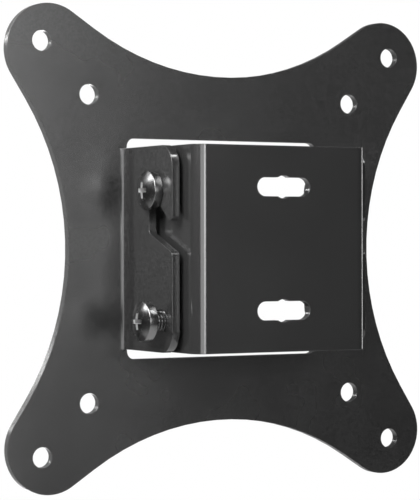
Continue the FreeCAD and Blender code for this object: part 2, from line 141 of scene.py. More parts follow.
# Screws
TURN_STEPS = 72
PITCH = 0.8 * MM
THREAD_CREST = 2.48 * MM
THREAD_ROOT = 2.03 * MM
CREST_ROUND = 0.03 * MM
SHANK_LENGTH = 10.0 * MM
TIP_RADIUS = THREAD_ROOT - 0.1 * MM
NECK_START = -0.9 * MM
NECK_RUN = 0.5 * MM
HEAD_RADIUS = 4.75 * MM
HEAD_RIM = 2.0 * MM
HEAD_HEIGHT = 3.3 * MM
HEAD_EDGE = 0.16 * MM
HEAD_SEAT_EDGE = HEAD_EDGE * 0.6
RIM_DROP = HEAD_EDGE * 0.35
RIM_MARGIN = 0.05 * MM
SOLID_HEAD = 3.7 * MM
DOME_RISE = HEAD_HEIGHT - HEAD_RIM
DOME_RADIUS = (HEAD_RADIUS ** 2 + DOME_RISE ** 2) / (2 * DOME_RISE)
DOME_START = 0.965
DOME_SLACK = 0.012 * MM
DOME_FACING = 0.97
SEAT_STEPS = 3
RIM_STEPS = 4
DOME_STEPS = 17
RECESS_WIDTH = 1.0 * MM
RECESS_LENGTH = 3.9 * MM
RECESS_DEPTH = 1.8 * MM
RECESS_EDGE = 0.07 * MM
RECESS_FLOOR_SCALE = 0.985
RECESS_TOP_SCALE = 1.015
RECESS_UPRIGHT = 0.9
RECESS_NAME = "recess"
CUTTER_RISE = 1.0 * MM

# One turn of the screw's thread: share of the pitch, radius
THREAD_PROFILE = (
    (0.00, THREAD_ROOT),
    (0.20, THREAD_ROOT),
    (0.50, THREAD_CREST - CREST_ROUND),
    (0.58, THREAD_CREST),
    (0.62, THREAD_CREST),
    (0.70, THREAD_CREST - CREST_ROUND),
)

# Spacer nuts
NUT_HEX = 8.6 * MM
NUT_LENGTH = 4.5 * MM
NUT_SPIGOT = 3.2 * MM
NUT_RISE = 1.0 * MM
NUT_BORE = 2.56 * MM
NUT_GROOVE = 2.88 * MM
NUT_CORNER = 0.12 * MM
NUT_END = -SHEET - NUT_LENGTH
NUT_CHAMFER = 0.5 * MM
NUT_CHAMFER_STEPS = 4
NUT_FACE_SHARE = 0.97
NUT_SEAT_EDGE = 0.08 * MM
NUT_SPIGOT_EDGE = 0.12 * MM
BORE_SLOPE = 0.8

# One turn of the nut's thread: share of the pitch, radius
BORE_PROFILE = (
    (0.00, NUT_BORE),
    (0.15, NUT_BORE),
    (0.50, NUT_GROOVE),
    (0.65, NUT_GROOVE),
)

# Coats and plating: scales are waves of noise per metre
COAT_GLOSS = 0.9
COAT_UNEVEN = 0.02
GRAIN_STRENGTH = 0.5
PEEL_SCALE = 420.0
PEEL_DEPTH = 0.02 * MM
PEEL_STRENGTH = 0.05
CLOUD_SCALE = 55.0
MATT_RUN = 0.3 * MM
BLOTCH_SCALE = 900.0
MARK_SCALE = 5200.0
MARK_DEPTH = 0.006 * MM
MARK_STRENGTH = 0.1
PLATING_UNEVEN = 0.03
RECESS_DULLING = 0.35
NOISE_LOW = 0.3
NOISE_HIGH = 0.7

# Sockets of a mix node that blends colours
MIX_FIRST = 6
MIX_SECOND = 7
MIX_RESULT = 2

# Studio
STUDIO_GREY = 0.04
BACKDROP_START = 0.8
BACKDROP_END = 0.95
FLOOR_HEIGHT = -0.28
FLOOR_RADIUS = 1.1
FLOOR_FADE = FLOOR_RADIUS * 0.25
FLOOR_GREY = 0.8
FLOOR_ROUGHNESS = 0.9
FLOOR_GLOW = 0.4

# Lamps: name, azimuth, elevation, distance, width, height, power
LAMPS = (
    ("front_softbox", -12, 1, 1.2, 0.9, 0.42, 3.5),
    ("front_strip", 10, 5, 1.19, 0.26, 0.4, 2.9),
    ("left_high_softbox", -78, 42, 1.0, 0.5, 0.5, 6.0),
    ("left_softbox", -46, 40, 1.0, 0.5, 0.5, 2.0),
    ("left_near", -70, 35, 0.2, 0.12, 0.12, 0.8),
    ("left_low", -40, -25, 1.2, 0.4, 0.3, 0.9),
    ("left_front_strip", -33, 14, 1.2, 0.25, 0.25, 0.8),
    ("high_lamp", 48, 48, 1.2, 0.1, 0.4, 2.2),
    ("left_back_lamp", -122, 30, 1.0, 0.3, 0.3, 3.0),
    ("right_strip", 97, 4, 1.0, 0.12, 0.5, 1.4),
    ("right_softbox", 108, 30, 1.0, 0.5, 0.5, 4.0),
    ("back_lamp", -155, 16, 1.2, 0.1, 0.1, 0.6),
    ("back_low_lamp", 165, -15, 1.2, 0.3, 0.3, 1.5),
)

# Each screw with its nut, as nodes, and the way it points along X
FASTENERS = (
    ("pivot_screw_left", "pivot_nut_left", -1),
    ("pivot_screw_right", "pivot_nut_right", 1),
    ("clamp_screw", "clamp_nut", -1),
)


def add_object(name, data):
    obj = bpy.data.objects.new(name, data)
    bpy.context.collection.objects.link(obj)
    return obj


def mesh_from(name, bm):
    bmesh.ops.recalc_face_normals(bm, faces=bm.faces)
    mesh = bpy.data.meshes.new(name)
    bm.to_mesh(mesh)
    bm.free()
    mesh.shade_smooth()
    return mesh


def apply_modifiers(obj):
    """Replace the object's mesh by what its modifiers make of it."""
    depsgraph = bpy.context.evaluated_depsgraph_get()
    mesh = bpy.data.meshes.new_from_object(obj.evaluated_get(depsgraph))
    obj.modifiers.clear()
    obj.data = mesh


def arc(centre, radius, start, end):
    """Points of an arc between two angles, both ends included."""
    count = max(2, math.ceil(abs(end - start) / ARC_STEP))
    turns = [start + (end - start) * step / count for step in range(count + 1)]
    return [centre + radius * Vector((math.cos(turn), math.sin(turn))) for turn in turns]


def arc_through(centre, start, end):
    """The shorter arc about a centre from one point to another."""
    first = start - centre
    last = end - centre
    turn = math.atan2(first.x * last.y - first.y * last.x, first.dot(last))
    angle = math.atan2(first.y, first.x)
    return arc(centre, first.length, angle, angle + turn)


def rounded(corners):
    """Closed outline through corners, each an across, an up and a radius."""
    points = []
    count = len(corners)
    for index, (across, up, radius) in enumerate(corners):
        corner = Vector((across, up))
        if radius == 0:
            points.append(corner)
            continue
        before = (Vector(corners[index - 1][:2]) - corner).normalized()
        after = (Vector(corners[(index + 1) % count][:2]) - corner).normalized()
        half = before.angle(after) / 2
        reach = radius / math.tan(half)
        centre = corner + (before + after).normalized() * radius / math.sin(half)
        points += arc_through(centre, corner + before * reach, corner + after * reach)
    return points


def tidy_outline(points):
    """The outline counter-clockwise, without repeated points and with its sharp corners cut by a curve."""
    points = [point for index, point in enumerate(points) if (point - points[index - 1]).length > WELD]
    ends = points[1:] + points[:1]
    area = sum(point.x * end.y - point.y * end.x for point, end in zip(points, ends))
    if area < 0:
        points = points[::-1]
    result = []
    count = len(points)
    for index, corner in enumerate(points):
        before = points[index - 1] - corner
        after = points[(index + 1) % count] - corner
        if before.angle(after) > math.pi - SHARP_TURN:
            result.append(corner)
            continue
        cut = min(CORNER_CUT, CORNER_SHARE * before.length, CORNER_SHARE * after.length)
        first = corner + before.normalized() * cut
        last = corner + after.normalized() * cut
        for step in range(CORNER_STEPS + 1):
            share = step / CORNER_STEPS
            rest = 1 - share
            result.append(first * rest * rest + corner * 2 * share * rest + last * share * share)
    return result


def edge_normals(points, side):
    """Unit vectors in the flat that point out of the metal at each point of an outline."""
    normals = []
    count = len(points)
    for index, point in enumerate(points):
        before = (point - points[index - 1]).normalized()
        after = (points[(index + 1) % count] - point).normalized()
        run = (before + after).normalized()
        normals.append(Vector((run.y, -run.x)) * side)
    return normals


def edge_profile():
    """Rounded edge of a sheet from its front to its back, as (inset, height, lean of the normal)."""
    half = SHEET / 2
    front = []
    for step in range(EDGE_STEPS + 1):
        lean = math.pi / 2 * step / EDGE_STEPS
        inset = EDGE_ROUND * (1 - math.sin(lean))
        front.append((inset, half - EDGE_ROUND * (1 - math.cos(lean)), lean))
    back = [(inset, -height, math.pi - lean) for inset, height, lean in reversed(front)]
    return front + back


def folded(middle, flat, normal, height, lean):
    """Place and normal, once the sheet is folded, of a point at a height above its middle."""
    across, depth, angle = middle(abs(flat.x), abs(flat.y))
    side = 1.0 if flat.x >= 0 else -1.0
    along = Vector((math.cos(angle), side * math.sin(angle), 0))
    out = Vector((side * math.sin(angle), -math.cos(angle), 0))
    place = Vector((side * across, depth, flat.y)) + out * height
    direction = out * math.cos(lean) + (along * normal.x + UP * normal.y) * math.sin(lean)
    return place, direction


def plate_middle(reach, rise):
    """Middle of the plate's sheet at this distance from its centre lines: across, depth, angle."""
    if rise > FLANGE_TOP + RELIEF_WIDTH / 2:
        return reach, FOLD_DEPTH + FOLD_MIDDLE, 0.0
    angle = min(max((FOLD_ACROSS - reach) / FOLD_MIDDLE, 0.0), math.pi / 2)
    across = max(reach, FOLD_ACROSS) - FOLD_MIDDLE * math.sin(angle)
    depth = FOLD_DEPTH + FOLD_MIDDLE * math.cos(angle) - max(FOLD_END - reach, 0.0)
    return across, depth, angle


def bracket_middle(reach, _rise):
    """Middle of the bracket's sheet at this distance from its centre line: across, depth, angle."""
    angle = min(max((reach - BEND_ACROSS) / BEND_MIDDLE, 0.0), math.pi / 2)
    across = min(reach, BEND_ACROSS) + BEND_MIDDLE * math.sin(angle)
    depth = BEND_DEPTH - BEND_MIDDLE * math.cos(angle) + max(reach - BEND_END, 0.0)
    return across, depth, angle


def inside(places, edges):
    """Which of the places lie within the metal, by counting the outline's edges to their right."""
    starts = np.array([(edge[0].x, edge[0].y) for edge in edges])
    ends = np.array([(edge[1].x, edge[1].y) for edge in edges])
    across = places[:, None, 0]
    up = places[:, None, 1]
    spans = (starts[None, :, 1] > up) != (ends[None, :, 1] > up)
    rise = np.where(ends[:, 1] == starts[:, 1], 1.0, ends[:, 1] - starts[:, 1])
    slope = (ends[:, 0] - starts[:, 0]) / rise
    crossing = starts[None, :, 0] + (up - starts[None, :, 1]) * slope[None, :]
    return (spans & (across < crossing)).sum(axis=1) % 2 == 1


def fill(points, links):
    """Triangles that fill the flat between its outlines, as index triples into the points."""
    bare = [point / MM for point in points]
    corners, _, triangles, origins, _, _ = delaunay_2d_cdt(bare, links["all"], [], FILL_HULL, FILL_SLACK)
    centres = np.array([
        [sum(corners[index][axis] for index in triangle) / 3 for axis in (0, 1)] for triangle in triangles
    ])
    edges = [(bare[first], bare[last]) for first, last in links["outlines"]]
    kept = inside(centres, edges)
    return [[origins[index][0] for index in triangle] for triangle, keep in zip(triangles, kept) if keep]


def bend_links(points, bends):
    """Lines across the sheet along which it bends, each from its lowest point to its highest."""
    links = []
    for bend in bends:
        on_line = [index for index, point in enumerate(points) if abs(point.x - bend) < MERGE]
        on_line.sort(key=lambda index: points[index].y)
        links.append((on_line[0], on_line[-1]))
    return links


def edge_faces(start, count, rows, is_border):
    """Quads of one outline's edge, between the rows of its profile."""
    faces = []
    for index in range(count):
        for row in range(rows - 1):
            here = (start + index) * rows + row
            there = (start + (index + 1) % count) * rows + row
            face = (here, here + 1, there + 1, there)
            faces.append(face if is_border else face[::-1])
    return faces


def sheet_mesh(name, outlines, bends, middle):
    """Sheet with the first outline as its border and the others as its holes, folded, with round edges."""
    profile = edge_profile()
    rows = len(profile)
    flat = []
    borders = []
    places = []
    directions = []
    faces = []
    for outline in outlines:
        is_border = outline is outlines[0]
        points = tidy_outline(outline)
        normals = edge_normals(points, 1 if is_border else -1)
        start = len(flat)
        count = len(points)
        for index, (point, normal) in enumerate(zip(points, normals)):
            flat.append(point - normal * EDGE_ROUND)
            for inset, height, lean in profile:
                place, direction = folded(middle, point - normal * inset, normal, height, lean)
                places.append(place)
                directions.append(direction)
            borders.append((start + index, start + (index + 1) % count))
        faces += edge_faces(start, count, rows, is_border)
    links = {"outlines": borders, "all": borders + bend_links(flat, bends)}
    for triangle in fill(flat, links):
        faces.append([index * rows for index in triangle])
        faces.append([index * rows + rows - 1 for index in reversed(triangle)])
    mesh = bpy.data.meshes.new(name)
    mesh.from_pydata(places, [], faces)
    mesh.shade_smooth()
    mesh.normals_split_custom_set_from_vertices(directions)
    return mesh


def plate_border():
    """Four round lobes joined by straight necks and hollow waists."""
    step = WAIST_PLACE - LOBE_PLACE
    squares = LOBE_PLACE ** 2 + step ** 2 - LOBE_RADIUS ** 2 - WAIST_NECK ** 2
    waist_radius = squares / (2 * (LOBE_RADIUS - step))
    lobe = Vector((LOBE_PLACE, LOBE_PLACE))
    waist = Vector((0, WAIST_PLACE + waist_radius))
    swing = math.atan(WAIST_NECK / (LOBE_RADIUS + waist_radius))
    normal = Matrix.Rotation(-swing, 2) @ (waist - lobe).normalized()
    neck_end = waist - normal * waist_radius
    middle = math.pi / 4
    spread_angle = math.atan2(normal.y, normal.x) - middle
    quarter = arc(lobe, LOBE_RADIUS, middle - spread_angle, middle + spread_angle)
    quarter += arc_through(waist, neck_end, Vector((-neck_end.x, neck_end.y)))
    points = []
    for turn in range(4):
        points += [Matrix.Rotation(math.pi / 2 * turn, 2) @ point for point in quarter]
    return points


def plate_bends():
    return [FOLD_ACROSS - FOLD_LENGTH * step / BEND_STEPS for step in range(BEND_STEPS + 1)]


def in_flat(depth):
    """Distance from the centre line, in the flat, of what lies at a depth of a flange."""
    return FOLD_END - FOLD_DEPTH + depth


def flange_corners():
    """Free edge of a flange from bottom to top: clamp lobe, mouth of the notch, screw seat, hook."""
    seat_front = PIVOT.x - SEAT_RADIUS
    seat_back = PIVOT.x + SEAT_RADIUS
    seat_top = PIVOT.y + SEAT_RADIUS
    corners = [
        (FLANGE_FRONT, -FLANGE_TOP, FLANGE_CORNER),
        (FLANGE_FRONT, MOUTH_FRONT, MOUTH_CORNER),
        (seat_back, MOUTH_BACK, MOUTH_CORNER),
        (seat_back, seat_top, SEAT_RADIUS),
        (seat_front, seat_top, SEAT_RADIUS),
        (seat_front, THROAT, THROAT_CORNER),
        (FLANGE_FRONT + HOOK_TIP_WIDTH, HOOK_TIP, HOOK_TIP_CORNER),
        (FLANGE_FRONT, HOOK_TIP, HOOK_TIP_CORNER),
        (FLANGE_FRONT, FLANGE_TOP, FLANGE_CORNER),
    ]
    return [(in_flat(depth), up, radius) for depth, up, radius in corners]


def window_border():
    """Window of the plate with both flanges lying flat in it."""
    slit = FLANGE_TOP + RELIEF_WIDTH
    end = FOLD_ACROSS + RELIEF
    bends = plate_bends()
    right = [
        (WINDOW_SIDE, -WINDOW_TOP, WINDOW_CORNER),
        (WINDOW_SIDE, -slit, RELIEF_CORNER),
        (end, -slit, 0),
        (end, -FLANGE_TOP, 0),
    ]
    right += [(bend, -FLANGE_TOP, 0) for bend in bends]
    right += flange_corners()
    right += [(bend, FLANGE_TOP, 0) for bend in reversed(bends)]
    right += [
        (end, FLANGE_TOP, 0),
        (end, slit, 0),
        (WINDOW_SIDE, slit, RELIEF_CORNER),
        (WINDOW_SIDE, WINDOW_TOP, WINDOW_CORNER),
    ]
    left = [(-across, up, radius) for across, up, radius in reversed(right)]
    return rounded(right + left)


def tilt_slot():
    """Slot of the left flange in which the clamp screw stays as the plate swings about the pivot."""
    arm = CLAMP - PIVOT
    first = math.atan2(arm.y, arm.x)
    last = first + TILT
    far = PIVOT + Matrix.Rotation(TILT, 2) @ arm
    points = arc(PIVOT, arm.length + TILT_SLOT, first, last)
    points += arc(far, TILT_SLOT, last, last + math.pi)
    points += arc(PIVOT, arm.length - TILT_SLOT, last, first)
    points += arc(CLAMP, TILT_SLOT, first + math.pi, first + 2 * math.pi)
    return [Vector((-in_flat(point.x), point.y)) for point in points]


def round_hole(across, up, radius):
    return arc(Vector((across, up)), radius, 0.0, 2 * math.pi)


def screen_plate_mesh():
    outlines = [plate_border(), window_border(), tilt_slot()]
    for place in HOLE_PLACES:
        for across in (-place, place):
            for up in (-place, place):
                outlines.append(round_hole(across, up, HOLE_RADIUS))
    bends = plate_bends()
    return sheet_mesh("screen_plate_sheet", outlines, bends + [-bend for bend in bends], plate_middle)


def wall_slot(up):
    """Level slot with a round eye in its middle."""
    straight = SLOT_REACH - SLOT_HALF
    eye = math.asin(SLOT_HALF / EYE_RADIUS)
    centre = Vector((0, up))
    points = arc(centre + Vector((straight, 0)), SLOT_HALF, -math.pi / 2, math.pi / 2)
    points += arc(centre, EYE_RADIUS, eye, math.pi - eye)
    points += arc(centre - Vector((straight, 0)), SLOT_HALF, math.pi / 2, 3 * math.pi / 2)
    points += arc(centre, EYE_RADIUS, math.pi + eye, 2 * math.pi - eye)
    return points


def wall_bracket_mesh():
    bends = [BEND_ACROSS + BEND_LENGTH * step / BEND_STEPS for step in range(BEND_STEPS + 1)]
    bends = [-bend for bend in reversed(bends)] + bends
    end = BEND_END + BRACKET_DEPTH - BEND_DEPTH
    corners = [(-end, -BRACKET_TOP, BOTTOM_CORNER)]
    corners += [(bend, -BRACKET_TOP, 0) for bend in bends]
    corners += [(end, -BRACKET_TOP, BOTTOM_CORNER), (end, BRACKET_TOP, TOP_CORNER)]
    corners += [(bend, BRACKET_TOP, 0) for bend in reversed(bends)]
    corners += [(-end, BRACKET_TOP, TOP_CORNER)]
    side = BEND_END - BEND_DEPTH
    outlines = [
        rounded(corners),
        wall_slot(SLOT_PLACE),
        wall_slot(-SLOT_PLACE),
        round_hole(side + PIVOT.x, PIVOT.y, NUT_HOLE),
        round_hole(-side - PIVOT.x, PIVOT.y, NUT_HOLE),
        round_hole(-side - CLAMP.x, CLAMP.y, NUT_HOLE),
    ]
    return sheet_mesh("wall_bracket_sheet", outlines, bends, bracket_middle)


def coated_sheet(node, mesh, material):
    """A folded sheet in place of the node of the same shape."""
    obj = add_object(f"{node}_sheet", mesh)
    mesh.materials.append(material)
    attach(obj, node)
    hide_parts(node)


def join_rings(bm, first, second):
    """Quads between two closed rings of as many points each."""
    count = len(first)
    for index in range(count):
        following = (index + 1) % count
        bm.faces.new((first[index], first[following], second[following], second[index]))


def ring_grid(bm, rings):
    """Quads between neighbouring rings, each a list of points that closes on itself."""
    rows = [[bm.verts.new(point) for point in ring] for ring in rings]
    for lower, upper in zip(rows, rows[1:]):
        join_rings(bm, lower, upper)
    return rows


def merge_close(bm):
    bmesh.ops.remove_doubles(bm, verts=bm.verts, dist=MERGE)
    bmesh.ops.dissolve_degenerate(bm, edges=bm.edges, dist=MERGE)


def around(step, radius, along):
    angle = 2 * math.pi * step / TURN_STEPS
    return Vector((along, radius * math.cos(angle), radius * math.sin(angle)))


def circle(radius, along):
    return [around(step, radius, along) for step in range(TURN_STEPS)]


def smooth_step(number):
    number = min(max(number, 0.0), 1.0)
    return number * number * (3 - 2 * number)


def helix_grid(bm, low, high, profile, limit):
    """Thread between two planes; profile is (share of a pitch, radius), limit trims it near its ends."""
    count = len(profile)
    turns = math.ceil((high - low) / PITCH) + 2
    rows = []
    for turn in range(turns):
        for share, radius in profile:
            rows.append(((turn - 1 + share) * PITCH + low, radius))
    grid = []
    for step in range(TURN_STEPS):
        column = []
        for start, radius in rows:
            along = min(max(start + PITCH * step / TURN_STEPS, low), high)
            column.append(bm.verts.new(around(step, limit(along, radius), along)))
        grid.append(column)
    last = len(rows) - 1
    for step in range(TURN_STEPS):
        wraps = step == TURN_STEPS - 1
        column = grid[step]
        neighbour = grid[(step + 1) % TURN_STEPS]
        shift = count if wraps else 0
        for row in range(last):
            corners = (
                column[row],
                neighbour[min(row + shift, last)],
                neighbour[min(row + 1 + shift, last)],
                column[row + 1],
            )
            if len(set(corners)) > 2:
                bm.faces.new(tuple(dict.fromkeys(corners)))
    return [column[0] for column in grid], [column[-1] for column in grid]


def shank_limit(along, radius):
    """Chamfer at the tip and a plain neck under the head."""
    tip = TIP_RADIUS + along + SHANK_LENGTH
    neck = smooth_step((along - NECK_START) / NECK_RUN)
    return min(radius * (1 - neck) + THREAD_CREST * neck, tip)


def head_profile():
    """Half section of a pan head from its seat to near its apex, as (along, radius)."""
    slope = math.asin(HEAD_RADIUS / DOME_RADIUS)
    points = []
    for step in range(SEAT_STEPS + 1):
        angle = math.pi / 2 * step / SEAT_STEPS
        points.append((
            HEAD_SEAT_EDGE * (1 - math.cos(angle)),
            HEAD_RADIUS - HEAD_SEAT_EDGE * (1 - math.sin(angle)),
        ))
    for step in range(RIM_STEPS + 1):
        angle = (math.pi / 2 - slope) * step / RIM_STEPS
        points.append((
            HEAD_RIM - RIM_DROP + HEAD_EDGE * math.sin(angle),
            HEAD_RADIUS - HEAD_EDGE * (1 - math.cos(angle)),
        ))
    for step in range(1, DOME_STEPS):
        angle = slope * DOME_START * (1 - step / DOME_STEPS)
        points.append((HEAD_HEIGHT - DOME_RADIUS * (1 - math.cos(angle)), DOME_RADIUS * math.sin(angle)))
    return points


def cross_cutter():
    """Cross-shaped prism whose walls lean a little, to be taken out of a head."""
    bm = bmesh.new()
    arm = RECESS_LENGTH / 2
    thick = RECESS_WIDTH / 2
    outline = [
        (arm, -thick), (arm, thick), (thick, thick), (thick, arm), (-thick, arm), (-thick, thick),
        (-arm, thick), (-arm, -thick), (-thick, -thick), (-thick, -arm), (thick, -arm), (thick, -thick),
    ]
    levels = (
        (HEAD_HEIGHT - RECESS_DEPTH, RECESS_FLOOR_SCALE),
        (HEAD_HEIGHT + CUTTER_RISE, RECESS_TOP_SCALE),
    )
    rows = ring_grid(bm, [
        [Vector((along, across * scale, up * scale)) for across, up in outline] for along, scale in levels
    ])
    bm.faces.new(rows[0])
    bm.faces.new(rows[-1])
    return add_object("cross_cutter", mesh_from("cross_cutter", bm))


def screw_blank():
    """A pan head screw along X, its seat at zero, with a real helical thread and no recess yet."""
    bm = bmesh.new()
    low_ring, high_ring = helix_grid(bm, -SHANK_LENGTH, 0.0, THREAD_PROFILE, shank_limit)
    bm.faces.new(low_ring)
    rings = ring_grid(bm, [circle(radius, along) for along, radius in head_profile()])
    join_rings(bm, high_ring, rings[0])
    bm.faces.new(rings[-1])
    merge_close(bm)
    return add_object("screw_blank", mesh_from("screw_blank", bm))


def screw_mesh():
    """A screw with a cross recess cut into its head, the recess softened and marked."""
    obj = screw_blank()
    cutter = cross_cutter()
    cut = obj.modifiers.new("recess", "BOOLEAN")
    cut.operation = "DIFFERENCE"
    cut.solver = "EXACT"
    cut.object = cutter
    apply_modifiers(obj)
    bpy.data.objects.remove(cutter)
    mesh = obj.data
    bpy.data.objects.remove(obj)
    soften_recess(mesh)
    mesh.shade_smooth()
    mesh.set_sharp_from_angle(angle=SHARP_ANGLE)
    dome_normals(mesh)
    mark_recess(mesh)
    return mesh


def mark_recess(mesh):
    """Note on each point whether it lies in the recess, below the dome: the mask for the recess's painted
    highlight and duller gloss.
    """
    mark = mesh.attributes.new(RECESS_NAME, "FLOAT", "POINT")
    for vertex, entry in zip(mesh.vertices, mark.data):
        radius = math.hypot(vertex.co.y, vertex.co.z)
        dome = HEAD_HEIGHT - DOME_RADIUS + math.sqrt(max(DOME_RADIUS ** 2 - radius ** 2, 0.0))
        within = radius < RECESS_LENGTH / 2 + RECESS_EDGE and vertex.co.x > HEAD_EDGE
        entry.value = 1.0 if within and vertex.co.x < dome - RECESS_EDGE else 0.0


def dome_normals(mesh):
    """Shade the dome as the sphere that it is, whatever the recess did to its faces."""
    centre = Vector((HEAD_HEIGHT - DOME_RADIUS, 0, 0))
    normals = [Vector(corner.vector) for corner in mesh.corner_normals]
    for polygon in mesh.polygons:
        arms = [mesh.vertices[index].co - centre for index in polygon.vertices]
        on_dome = all(abs(arm.length - DOME_RADIUS) < DOME_SLACK and arm.x > 0 for arm in arms)
        if on_dome and polygon.normal.dot(arms[0].normalized()) > DOME_FACING:
            for loop, arm in zip(polygon.loop_indices, arms):
                normals[loop] = arm.normalized()
    mesh.normals_split_custom_set(normals)


def soften_recess(mesh):
    """Round the rim of the recess, the only sharp edges above the head's rim."""
    bm = bmesh.new()
    bm.from_mesh(mesh)
    bmesh.ops.remove_doubles(bm, verts=bm.verts, dist=MERGE)
    rim = [
        edge for edge in bm.edges
        if len(edge.link_faces) == 2
        and edge.calc_face_angle() > SHARP_ANGLE
        and min(vertex.co.x for vertex in edge.verts) > HEAD_RIM + RIM_MARGIN
        and not edge_is_upright(edge)
    ]
    bmesh.ops.bevel(
        bm, geom=rim, offset=RECESS_EDGE, offset_type="OFFSET", segments=2, profile=0.5,
        affect="EDGES", clamp_overlap=False,
    )
    bm.to_mesh(mesh)
    bm.free()


def edge_is_upright(edge):
    run = edge.verts[1].co - edge.verts[0].co
    return abs(run.x) > RECESS_UPRIGHT * run.length


def hex_ring(width, along, most):
    """Hexagon with two of its corners along Y, all of them cut back to the radius given as most."""
    points = []
    for step in range(TURN_STEPS):
        turn = (2 * math.pi * step / TURN_STEPS) % (math.pi / 3)
        to_flat = abs(turn - math.pi / 6)
        points.append(around(step, min(width / 2 / math.cos(to_flat), most), along))
    return points


def bore_limit(along, radius):
    """Chamfers at both ends of a nut's bore."""
    edge = min(along - NUT_END, NUT_RISE - along)
    return max(radius, NUT_GROOVE - edge * BORE_SLOPE)


def nut_rings():
    """Outside of a spacer nut from its inner end to its outer one."""
    corner = NUT_HEX / math.sqrt(3) - NUT_CORNER
    face = NUT_HEX / 2 * NUT_FACE_SHARE
    rings = []
    for step in range(NUT_CHAMFER_STEPS + 1):
        rise = step / NUT_CHAMFER_STEPS
        rings.append(hex_ring(NUT_HEX, NUT_END + NUT_CHAMFER * rise, face + (corner - face) * rise))
    rings += [
        hex_ring(NUT_HEX, -SHEET - NUT_SEAT_EDGE, corner),
        hex_ring(NUT_HEX - 2 * NUT_SEAT_EDGE, -SHEET, corner),
        circle(NUT_SPIGOT, -SHEET),
        circle(NUT_SPIGOT, NUT_RISE - NUT_SPIGOT_EDGE),
        circle(NUT_SPIGOT - NUT_SPIGOT_EDGE, NUT_RISE),
    ]
    return rings


def nut_mesh():
    """A spacer nut along X, the bracket's outer face at zero: hexagon inside, spigot out through the wall."""
    bm = bmesh.new()
    rows = ring_grid(bm, nut_rings())
    low_ring, high_ring = helix_grid(bm, NUT_END, NUT_RISE, BORE_PROFILE, bore_limit)
    join_rings(bm, low_ring, rows[0])
    join_rings(bm, rows[-1], high_ring)
    merge_close(bm)
    mesh = mesh_from("nut", bm)
    mesh.set_sharp_from_angle(angle=SHARP_ANGLE)
    return mesh


def set_on_axis(name, mesh, out, place, body, node, material):
    """A turned piece on a screw axis, its own +X pointing away from the bracket."""
    mesh = mesh.copy()
    turn = Matrix.Rotation(math.pi, 4, "Z") if out < 0 else Matrix.Identity(4)
    mesh.transform(Matrix.Translation(place) @ turn)
    obj = add_object(name, mesh)
    mesh.materials.clear()
    mesh.materials.append(material)
    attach(obj, body)
    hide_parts(node)


def outer_end(node, out):
    """Middle of the node's outermost face along its axis."""
    low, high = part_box(node)
    middle = (low + high) / 2
    return Vector((high.x if out > 0 else low.x, middle.y, middle.z))


def fasteners(screw_finish, nut_finish):
    screw = screw_mesh()
    nut = nut_mesh()
    for screw_node, nut_node, out in FASTENERS:
        seat = outer_end(screw_node, out) - Vector((out * SOLID_HEAD, 0, 0))
        set_on_axis(
            f"{screw_node}_threaded", screw, out, seat, screw_node, screw_node, screw_finish
        )
        wall = outer_end(nut_node, out) - Vector((out * NUT_RISE, 0, 0))
        set_on_axis(f"{nut_node}_turned", nut, out, wall, "wall_bracket", nut_node, nut_finish)


def new_material(name):
    material = bpy.data.materials.new(name)
    material.use_nodes = True
    nodes = material.node_tree.nodes
    return material, nodes, material.node_tree.links, nodes["Principled BSDF"]


def add_node(nodes, kind, **settings):
    node = nodes.new(kind)
    for name, setting in settings.items():
        if name in node.inputs:
            node.inputs[name].default_value = setting
        else:
            setattr(node, name, setting)
    return node


def noise(nodes, links, scale, detail=2.0, roughness=0.5):
    """Noise of this many waves per metre, in the frame's own coordinates."""
    place = add_node(nodes, "ShaderNodeTexCoord")
    node = add_node(nodes, "ShaderNodeTexNoise", Scale=scale, Detail=detail, Roughness=roughness)
    links.new(place.outputs["Object"], node.inputs["Vector"])
    return node.outputs["Fac"]


def feed(links, source, socket):
    """Give a socket a plain setting, or what another node puts out."""
    if isinstance(source, bpy.types.NodeSocket):
        links.new(source, socket)
    else:
        socket.default_value = source


def reckoned(nodes, links, operation, *sources):
    """Sum, product or the like of plain numbers and other nodes' outputs."""
    node = add_node(nodes, "ShaderNodeMath", operation=operation)
    for source, socket in zip(sources, node.inputs):
        feed(links, source, socket)
    return node.outputs[0]


def mapped(nodes, links, source, start, end, low=0.0, high=1.0, curve="LINEAR"):
    """The source carried over from start and end to low and high, and held beyond them."""
    node = add_node(nodes, "ShaderNodeMapRange", interpolation_type=curve)
    node.inputs["From Min"].default_value = start
    node.inputs["From Max"].default_value = end
    node.inputs["To Min"].default_value = low
    node.inputs["To Max"].default_value = high
    links.new(source, node.inputs["Value"])
    return node.outputs["Result"]


def uneven(nodes, links, source, middle, slack):
    """A value that a noise moves about its middle."""
    return mapped(nodes, links, source, NOISE_LOW, NOISE_HIGH, middle - slack, middle + slack)


def depth_share(nodes, links, space, start, end):
    """Nothing nearer than start and one beyond end, along Y in these coordinates."""
    place = add_node(nodes, "ShaderNodeTexCoord")
    parts = add_node(nodes, "ShaderNodeSeparateXYZ")
    links.new(place.outputs[space], parts.inputs["Vector"])
    return mapped(nodes, links, parts.outputs["Y"], start, end)


def grey(level):
    return (level, level, level, 1.0)


def mixed_colour(nodes, links, share, first, second):
    node = add_node(nodes, "ShaderNodeMix", data_type="RGBA")
    feed(links, first, node.inputs[MIX_FIRST])
    feed(links, second, node.inputs[MIX_SECOND])
    links.new(share, node.inputs["Factor"])
    return node.outputs[MIX_RESULT]


def bump(nodes, links, height, distance, strength, below=None):
    """Normal of a surface raised by a height, over the bumps of the normal below."""
    node = add_node(nodes, "ShaderNodeBump", Distance=distance, Strength=strength)
    links.new(height, node.inputs["Height"])
    if below is not None:
        links.new(below, node.inputs["Normal"])
    return node.outputs["Normal"]


